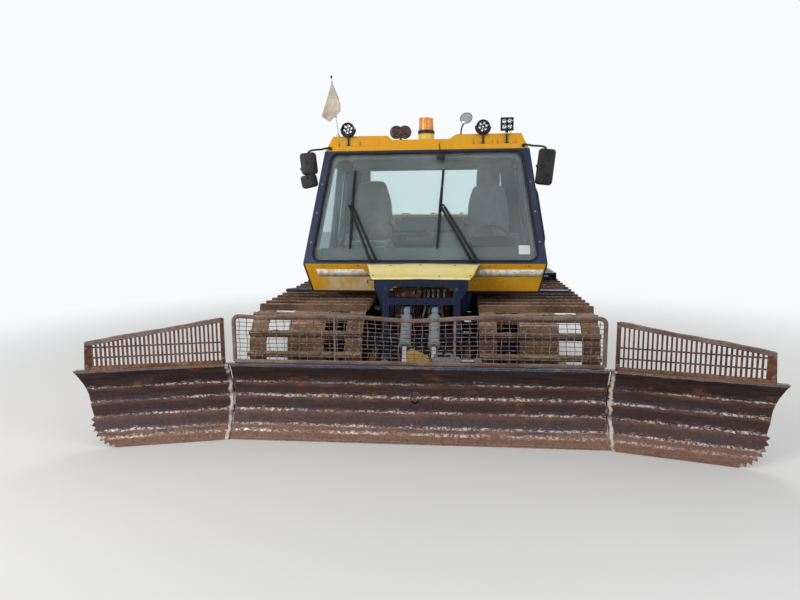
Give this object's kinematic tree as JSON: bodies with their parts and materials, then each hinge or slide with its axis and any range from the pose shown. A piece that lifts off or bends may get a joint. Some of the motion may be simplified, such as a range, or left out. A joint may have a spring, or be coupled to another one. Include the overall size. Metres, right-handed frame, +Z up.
{
  "type": "tracked snow groomer with winged blade",
  "caption": "Tracked snow groomer with a winged front blade, mesh grilles, glazed two-seat cab, engine house, rear deck and implement frame.",
  "frame": {"origin": "on the ground below the middle of the whole machine", "axes": "+Z up; the front of the machine faces -Y; +X is the machine's left-hand side"},
  "size_m": [5.1596, 5.6366, 3.1414],
  "materials": {
    "yellow_paint": "sun-faded satin",
    "blue_paint": "worn satin",
    "rusty_steel": "rusted",
    "cream_paint": "streaked",
    "black_plastic": "moulded",
    "glass": "clear",
    "rubber": "dusty",
    "track_steel": "rusted",
    "cylinder_paint": "worn satin",
    "chrome": "polished",
    "ochre_paint": "worn",
    "hose_sleeve": "dusty",
    "seat_fabric": "woven",
    "dash_plastic": "grained",
    "amber_lens": "translucent",
    "flag_cloth": "sheer",
    "engine_grey": "dull",
    "red_lens": "translucent",
    "pole_white": "weathered"
  },
  "bodies": {
    "chassis": {"chassis": "blue_paint", "axles": "blue_paint", "wheel_rims": "yellow_paint", "tyres": "rubber", "drive_drums": "blue_paint", "track_left": "track_steel", "track_right": "track_steel", "nose_portal": "blue_paint", "hydraulics": "rusty_steel", "hoses": "hose_sleeve", "hood_flap": "cream_paint", "cab_body": "yellow_paint", "cab_frame": "blue_paint", "cab_roof": "yellow_paint", "cab_glass": "glass", "wipers": "black_plastic", "mirrors": "black_plastic", "seats": "seat_fabric", "dashboard": "dash_plastic", "roof_lamps": "black_plastic", "horns": "rusty_steel", "beacon": "amber_lens", "flag_pole": "pole_white", "flag": "flag_cloth", "engine": "engine_grey", "engine_house": "yellow_paint", "rear_deck": "blue_paint", "fuel_tank": "yellow_paint", "exhaust_stack": "rusty_steel", "tail_lamps": "red_lens"},
    "door_left": {"door_left": "blue_paint", "door_glass_left": "glass"},
    "door_right": {"door_right": "blue_paint", "door_glass_right": "glass"},
    "engine_lid": {"engine_lid": "yellow_paint"},
    "push_frame": {"push_frame": "rusty_steel"},
    "lift_barrels": {"lift_barrels": "cylinder_paint"},
    "lift_rods": {"lift_rods": "chrome"},
    "carrier": {"blade_carrier": "ochre_paint"},
    "angle_barrel": {"angle_barrel": "cylinder_paint"},
    "angle_rod": {"angle_rod": "chrome"},
    "tilt_barrel": {"tilt_barrel": "cylinder_paint"},
    "tilt_rod": {"tilt_rod": "chrome"},
    "blade": {"blade": "rusty_steel", "blade_grille": "rusty_steel"},
    "wing_left": {"wing_left": "rusty_steel", "wing_grille_left": "rusty_steel"},
    "wing_right": {"wing_right": "rusty_steel", "wing_grille_right": "rusty_steel"},
    "wing_barrel_left": {"wing_barrel_left": "cylinder_paint"},
    "wing_rod_left": {"wing_rod_left": "chrome"},
    "wing_barrel_right": {"wing_barrel_right": "cylinder_paint"},
    "wing_rod_right": {"wing_rod_right": "chrome"},
    "rear_frame": {"rear_frame": "blue_paint"},
    "rear_barrels": {"rear_barrels": "cylinder_paint"},
    "rear_rods": {"rear_rods": "chrome"}
  },
  "joints": [
    {"name": "blade_lift", "type": "hinge", "parent": "chassis", "child": "push_frame", "pos_m": [0, -1.43, 0.52], "axis": [-1, 0, 0], "range_deg": [-4, 26]},
    {"name": "blade_angle", "type": "hinge", "parent": "push_frame", "child": "carrier", "pos_m": [0, -2.215, 0.34], "axis": [0, 0, 1], "range_deg": [-8, 8]},
    {"name": "blade_tilt", "type": "hinge", "parent": "carrier", "child": "blade", "pos_m": [0, -2.35, 0.33], "axis": [0, -1, 0], "range_deg": [-5, 5]},
    {"name": "wing_left_swing", "type": "hinge", "parent": "blade", "child": "wing_left", "pos_m": [1.465, -2.36, 0.3], "axis": [0, 0, 1], "range_deg": [0, 34]},
    {"name": "wing_right_swing", "type": "hinge", "parent": "blade", "child": "wing_right", "pos_m": [-1.465, -2.36, 0.3], "axis": [0, 0, -1], "range_deg": [0, 34]},
    {"name": "door_left_swing", "type": "hinge", "parent": "chassis", "child": "door_left", "pos_m": [1.155, -0.143, 1.3], "axis": [-0.1274, 0, 0.9919], "range_deg": [0, 80]},
    {"name": "door_right_swing", "type": "hinge", "parent": "chassis", "child": "door_right", "pos_m": [-1.155, -0.143, 1.3], "axis": [-0.1274, 0, -0.9919], "range_deg": [0, 80]},
    {"name": "engine_lid_lift", "type": "hinge", "parent": "chassis", "child": "engine_lid", "pos_m": [0, 0.384, 1.743], "axis": [1, 0, 0], "range_deg": [0, 60]},
    {"name": "rear_lift", "type": "hinge", "parent": "chassis", "child": "rear_frame", "pos_m": [0, 2.25, 0.47], "axis": [1, 0, 0], "range_deg": [-8, 22]},
    {"name": "lift_barrel_swing", "type": "hinge", "parent": "chassis", "child": "lift_barrels", "pos_m": [0, -1.64, 0.9], "axis": [-1, 0, 0], "range_deg": [-4, 24]},
    {"name": "lift_rod_stroke", "type": "slide", "parent": "lift_barrels", "child": "lift_rods", "axis": [0, -0.6743, -0.7385], "range_m": [-0.2, 0.035]},
    {"name": "angle_barrel_swing", "type": "hinge", "parent": "push_frame", "child": "angle_barrel", "pos_m": [-0.3, -1.87, 0.478], "axis": [0, 0, 1], "range_deg": [-1, 1]},
    {"name": "angle_rod_stroke", "type": "slide", "parent": "angle_barrel", "child": "angle_rod", "axis": [0, -1, 0], "range_m": [-0.045, 0.045]},
    {"name": "tilt_barrel_swing", "type": "hinge", "parent": "carrier", "child": "tilt_barrel", "pos_m": [0.08, -2.256, 0.59], "axis": [0, -1, 0], "range_deg": [-7, 7]},
    {"name": "tilt_rod_stroke", "type": "slide", "parent": "tilt_barrel", "child": "tilt_rod", "axis": [1, 0, 0], "range_m": [-0.025, 0.025]},
    {"name": "wing_barrel_left_swing", "type": "hinge", "parent": "blade", "child": "wing_barrel_left", "pos_m": [1, -2.24, 0.33], "axis": [0, 0, 1], "range_deg": [0, 15]},
    {"name": "wing_rod_left_stroke", "type": "slide", "parent": "wing_barrel_left", "child": "wing_rod_left", "axis": [0.9993, -0.0371, 0], "range_m": [-0.11, 0]},
    {"name": "wing_barrel_right_swing", "type": "hinge", "parent": "blade", "child": "wing_barrel_right", "pos_m": [-1, -2.24, 0.33], "axis": [0, 0, -1], "range_deg": [0, 15]},
    {"name": "wing_rod_right_stroke", "type": "slide", "parent": "wing_barrel_right", "child": "wing_rod_right", "axis": [-0.9993, -0.0371, 0], "range_m": [-0.11, 0]},
    {"name": "rear_barrel_swing", "type": "hinge", "parent": "chassis", "child": "rear_barrels", "pos_m": [0, 2.33, 0.9], "axis": [1, 0, 0], "range_deg": [-4, 10]},
    {"name": "rear_rod_stroke", "type": "slide", "parent": "rear_barrels", "child": "rear_rods", "axis": [0, 0.5918, -0.8061], "range_m": [-0.14, 0.06]}
  ],
  "couplings": [
    {"joint": "lift_barrel_swing", "follows": "blade_lift", "ratio": 0.8718},
    {"joint": "lift_rod_stroke", "follows": "blade_lift", "m_per_rad": -0.4252},
    {"joint": "angle_barrel_swing", "follows": "blade_angle", "ratio": 0.0573},
    {"joint": "angle_rod_stroke", "follows": "blade_angle", "m_per_rad": 0.2996},
    {"joint": "tilt_barrel_swing", "follows": "blade_tilt", "ratio": 1.1946},
    {"joint": "tilt_rod_stroke", "follows": "blade_tilt", "m_per_rad": -0.2593},
    {"joint": "wing_barrel_left_swing", "follows": "wing_left_swing", "ratio": 0.3735},
    {"joint": "wing_rod_left_stroke", "follows": "wing_left_swing", "m_per_rad": -0.1453},
    {"joint": "wing_barrel_right_swing", "follows": "wing_right_swing", "ratio": 0.3735},
    {"joint": "wing_rod_right_stroke", "follows": "wing_right_swing", "m_per_rad": -0.1453},
    {"joint": "rear_barrel_swing", "follows": "rear_lift", "ratio": 0.3697},
    {"joint": "rear_rod_stroke", "follows": "rear_lift", "m_per_rad": -0.3323}
  ]
}
